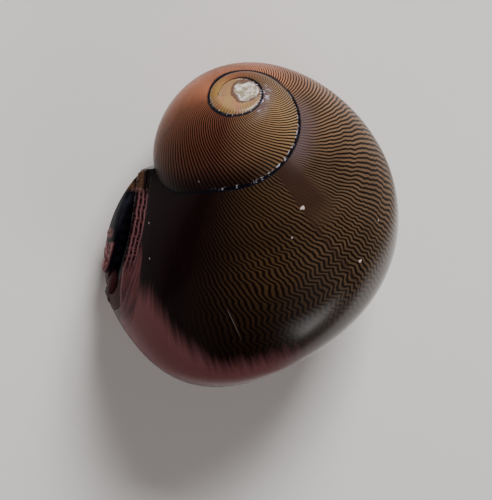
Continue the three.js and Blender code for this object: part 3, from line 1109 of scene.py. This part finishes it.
class NeriteLooks(bpy.types.PropertyGroup):
    """Colours and patterns."""

    warm: swatch("Warm ground", "Orange-brown far back", 0.38, 0.135, 0.07)
    shoulder: swatch("Shoulder", "Brown where whorl and spire meet", 0.125, 0.044, 0.023)
    ground: swatch("Ground", "Olive tan between the lines", 0.17, 0.098, 0.055)
    olive: swatch("Olive", "Olive brown further on", 0.085, 0.052, 0.03)
    middle: swatch("Middle", "Dark olive of the middle", 0.042, 0.022, 0.01)
    dark: swatch("Dark", "Near-black brown near the lip", 0.006, 0.002, 0.0025)
    line: swatch("Lines", "Near-black of the growth lines", 0.004, 0.002, 0.0015)
    mark: swatch("Growth mark", "Smooth brown of the old mark", 0.02, 0.009, 0.007)
    # Painted highlight: this purple-grey stands in for the light's soft highlight beside the suture
    painted_highlight: swatch("Bloom", "Purple-grey beside the suture", 0.085, 0.058, 0.068)
    streak: swatch("Streaks", "Faint streaks near the lip", 0.016, 0.006, 0.006)
    # Painted reflection: the mauve band laid on the base by the lip, not the shell's own colour
    painted_reflection: swatch("Low sheen", "Mauve-brown of the base by the lip", 0.17, 0.062, 0.066)
    seam: swatch("Suture", "Blue-black of the suture line", 0.003, 0.003, 0.006)
    chip: swatch("Chips", "Pale chips along the suture", 0.45, 0.43, 0.5)
    fleck: swatch("Flecks", "Pale flecks and scratches", 0.42, 0.34, 0.32)
    spire: swatch("Spire", "Olive-brown of the whorl above", 0.25, 0.155, 0.075)
    spire_left: swatch("Spire left", "Its warm brown left side", 0.08, 0.026, 0.016)
    worn: swatch("Worn apex", "Tan of the first whorl", 0.25, 0.14, 0.043)
    worn_shade: swatch("Worn shade", "Browner tan", 0.26, 0.1, 0.05)
    spoke: swatch("Spokes", "Dark olive spokes on it", 0.04, 0.024, 0.01)
    chalk: swatch("Chalk", "Whitish grey of the eroded middle", 0.55, 0.49, 0.44)
    chalk_shade: swatch("Chalk shade", "Greenish grey in it", 0.2, 0.17, 0.11)
    core_rim: swatch("Core rim", "Brown rim of the eroded middle", 0.06, 0.02, 0.015)
    lip: swatch("Lip", "Brown of the lip", 0.12, 0.034, 0.038)
    lip_shade: swatch("Lip shade", "Its darker streaks", 0.05, 0.014, 0.016)
    lip_pale: swatch("Lip strands", "Pale pink-brown strands", 0.17, 0.08, 0.085)
    # Dark of the slits between strands, and painted shade on the lip's front face
    slit_and_shade: swatch("Slits", "Dark slits between strands", 0.006, 0.001, 0.002)
    # Painted shade: blue-black standing in for the shade inside the mouth
    deck: swatch("Deck", "Blue-black of the deck", 0.004, 0.003, 0.006)
    deck_blotch: swatch("Deck blotches", "Blue-grey blotches", 0.014, 0.015, 0.024)
    # Painted shade along the deck's far edge
    painted_rim_shade: swatch("Deck rim", "Dark red far edge", 0.05, 0.006, 0.008)
    # Painted shade low in the mouth, on the deck's lower end, the lip and the last whorl
    painted_low_shade: swatch("Deck end", "Dark red-brown lower end", 0.04, 0.011, 0.012)
    lobe: swatch("Lobes", "Pinkish mauve callus lobes", 0.33, 0.15, 0.155)
    lobe_shade: swatch("Lobe shade", "Red-brown folds", 0.07, 0.018, 0.018)
    lump: swatch("Lump", "Olive-brown lump at the top corner", 0.075, 0.035, 0.018)
    lid: swatch("Lid", "Blue-black of the lid", 0.012, 0.013, 0.02)
    flesh: swatch("Flesh", "Dark flesh of the foot", 0.02, 0.012, 0.012)
    floor: swatch("Floor", "Pale floor", 0.72, 0.7, 0.68)
    wave_height: FloatProperty(
        name="Wave height", description="How many lines wide the lines wander", default=1.7)
    zigzag: FloatProperty(
        name="Zigzag", description="How many lines wide the zigzag is", default=0.75)


def lump(middle, halves, segments, turn=0.0):
    """An ellipsoid in the mouth's frame."""
    bm = bmesh.new()
    matrix = (
        mouth_frame()
        @ Matrix.Translation(middle)
        @ Matrix.Rotation(turn, 4, "Z")
        @ Matrix.Diagonal((*halves, 1))
    )
    bmesh.ops.create_uvsphere(
        bm, u_segments=segments, v_segments=segments // 2, radius=1, matrix=matrix)
    return piece_from(bm, "lump")


def above_floor(piece):
    """Cuts the small flats that the shell rests on."""
    under = LYING.inverted() @ Matrix.Translation((0, 0, -BLOCK_SIZE))
    cut(piece, block(BLOCK_SIZE, under))


class NERITE_OT_body_whorl(bpy.types.Operator):
    """Builds the last whorl of the shell"""

    bl_idname = "nerite.body_whorl"
    bl_label = "Body whorl"

    def execute(self, context):
        sizes = context.scene.nerite_sizes
        piece = coil_solid("body_whorl", "late body")
        cut(piece, beyond_mouth(-sizes.lip_thickness - SEAM_GAP), shoulder_cut())
        combined(piece, "UNION", coil_solid("early", "early body"))
        cut(piece, coil_solid("room", "spire", SEAM_GAP), pocket())
        above_floor(piece)
        finished(piece, "shell_body_whorl", body_finish("olive_shell_last_whorl"))
        return {"FINISHED"}


class NERITE_OT_spire(bpy.types.Operator):
    """Builds the whorl above the last one"""

    bl_idname = "nerite.spire"
    bl_label = "Spire whorl"

    def execute(self, context):
        piece = coil_solid("spire_whorl", "spire")
        cut(piece, coil_solid("room", "apex", SEAM_GAP))
        above_floor(piece)
        finished(piece, "shell_spire", spire_finish("olive_shell_spire"))
        return {"FINISHED"}


class NERITE_OT_apex(bpy.types.Operator):
    """Builds the worn first whorl"""

    bl_idname = "nerite.apex"
    bl_label = "Worn apex"

    def execute(self, context):
        piece = coil_solid("worn_apex", "apex")
        finished(piece, "shell_apex", apex_finish("worn_first_whorl"))
        return {"FINISHED"}


def mouth_wall(name):
    """The slab behind the mouth plane that the lip and the deck are made of."""
    sizes = bpy.context.scene.nerite_sizes
    piece = coil_solid(name, "late body")
    combined(piece, "INTERSECT", beyond_mouth(-sizes.lip_thickness))
    cut(piece, coil_solid("early", "early body", WALL_GAP), coil_solid("room", "spire", WALL_GAP),
        shoulder_cut())
    return piece


class NERITE_OT_lip(bpy.types.Operator):
    """Builds the thin outer lip"""

    bl_idname = "nerite.lip"
    bl_label = "Outer lip"

    def execute(self, context):
        piece = mouth_wall("outer_lip_edge")
        cut(piece, beyond_mouth(0), pocket(), deck_side(-SEAM_GAP))
        finished(piece, "outer_lip", lip_finish("flaking_lip"))
        return {"FINISHED"}


class NERITE_OT_deck(bpy.types.Operator):
    """Builds the deck with its teeth"""

    bl_idname = "nerite.deck"
    bl_label = "Deck and teeth"

    def execute(self, context):
        sizes = context.scene.nerite_sizes
        middle = Vector((*DECK_CENTRE, sizes.deck_rise - DECK_BULGE))
        piece = mouth_wall("deck_and_teeth")
        halves = (DECK_HALF_WIDTH, DECK_HALF_LENGTH, DECK_BULGE)
        cap = lump(middle, halves, CAP_SEGMENTS, EDGE_TURN + math.pi / 2)
        combined(piece, "INTERSECT", deck_side(0), cap)
        for i in range(sizes.teeth):
            share = FIRST_TOOTH + (LAST_TOOTH - FIRST_TOOTH) * i / max(1, sizes.teeth - 1)
            at = OPENING_TOP.lerp(OPENING_BOTTOM, share)
            middle = (at.x - TOOTH_SINK, at.y + TOOTH_SINK / 2, -sizes.lip_thickness / 2)
            tooth = lump(middle, [sizes.tooth_radius] * 3, TOOTH_SEGMENTS)
            combined(piece, "UNION", tooth)
        for middle, halves in LOBES:
            lobe = lump(Vector(middle) * MM, Vector(halves) * MM, LOBE_SEGMENTS)
            combined(piece, "UNION", lobe)
        finished(piece, "columellar_deck", deck_finish("dark_deck"))
        return {"FINISHED"}


class NERITE_OT_lid(bpy.types.Operator):
    """Builds the lid that closes the mouth"""

    bl_idname = "nerite.lid"
    bl_label = "Lid"

    def execute(self, context):
        sizes, looks = context.scene.nerite_sizes, context.scene.nerite_looks
        piece = plate("lid", LID_PLAY, LID_TOP, LID_TOP - sizes.lid_thickness)
        finished(piece, "operculum", plain_finish("horny_lid", looks.lid, 0.3))
        return {"FINISHED"}


class NERITE_OT_foot(bpy.types.Operator):
    """Builds the skin of the foot behind the lid"""

    bl_idname = "nerite.foot"
    bl_label = "Foot"

    def execute(self, context):
        looks = context.scene.nerite_looks
        piece = plate("foot_skin", FOOT_GAP, FOOT_RIM_TOP, FOOT_BOTTOM)
        depth = LID_TOP - context.scene.nerite_sizes.lid_thickness - LID_GAP
        cut(piece, plate("room", LID_PLAY - LID_GAP, POCKET_TOP, depth))
        finished(piece, "foot", plain_finish("moist_flesh", looks.flesh, 0.25))
        return {"FINISHED"}


def add_light(name, at, size, watts, tint):
    data = bpy.data.lights.new(name, "AREA")
    data.shape = "SQUARE"
    data.size = size
    data.energy = watts
    data.color = tint
    light = put_in_scene(name, data)
    light.location = at
    light.rotation_euler = (-Vector(at)).to_track_quat("-Z", "Y").to_euler()


class NERITE_OT_stage(bpy.types.Operator):
    """Builds the floor, the lights and the camera"""

    bl_idname = "nerite.stage"
    bl_label = "Stage"

    def execute(self, context):
        looks = context.scene.nerite_looks
        bm = bmesh.new()
        bmesh.ops.create_circle(bm, cap_ends=True, segments=FLOOR_SEGMENTS, radius=FLOOR_RADIUS)
        floor = piece_from(bm, "floor")
        make = Finish("pale_floor")
        floor.data.materials.append(make.surface(Base_Color=rgba(looks.floor), Roughness=0.7))

        for light in LIGHTS:
            add_light(*light)
        world = bpy.data.worlds.new("soft_room")
        world.use_nodes = True
        backdrop = world.node_tree.nodes["Background"]
        backdrop.inputs["Color"].default_value = ROOM_TINT
        backdrop.inputs["Strength"].default_value = ROOM_STRENGTH
        context.scene.world = world

        data = bpy.data.cameras.new("camera")
        data.sensor_width = SENSOR_WIDTH
        data.lens = data.sensor_width * FOCAL_PIXELS / PICTURE_LONG_SIDE
        data.clip_start, data.clip_end = CLIP
        camera = put_in_scene("camera", data)
        turn = Matrix((CAMERA_RIGHT, CAMERA_UP, CAMERA_BACK)).transposed().to_4x4()
        camera.matrix_world = Matrix.Translation(CAMERA_AT) @ turn
        context.scene.camera = camera
        return {"FINISHED"}


class NERITE_PT_panel(bpy.types.Panel):
    """Lists the snail's sizes, its looks and the builders of its pieces"""

    bl_idname = "NERITE_PT_panel"
    bl_label = "Olive nerite snail"
    bl_space_type = "VIEW_3D"
    bl_region_type = "UI"
    bl_category = "Nerite"

    def draw(self, context):
        for group in (context.scene.nerite_sizes, context.scene.nerite_looks):
            for key in group.__annotations__:
                self.layout.prop(group, key)
        for builder in BUILDERS:
            self.layout.operator(builder.bl_idname)


BUILDERS = (
    NERITE_OT_stage,
    NERITE_OT_body_whorl,
    NERITE_OT_spire,
    NERITE_OT_apex,
    NERITE_OT_lip,
    NERITE_OT_deck,
    NERITE_OT_lid,
    NERITE_OT_foot,
)
CLASSES = (NeriteSizes, NeriteLooks, *BUILDERS, NERITE_PT_panel)


def register():
    for cls in CLASSES:
        bpy.utils.register_class(cls)
    bpy.types.Scene.nerite_sizes = PointerProperty(type=NeriteSizes)
    bpy.types.Scene.nerite_looks = PointerProperty(type=NeriteLooks)


def unregister():
    del bpy.types.Scene.nerite_looks
    del bpy.types.Scene.nerite_sizes
    for cls in reversed(CLASSES):
        bpy.utils.unregister_class(cls)


def main():
    register()
    for builder in BUILDERS:
        group, name = builder.bl_idname.split(".")
        getattr(getattr(bpy.ops, group), name)()


if __name__ == "__main__":
    main()
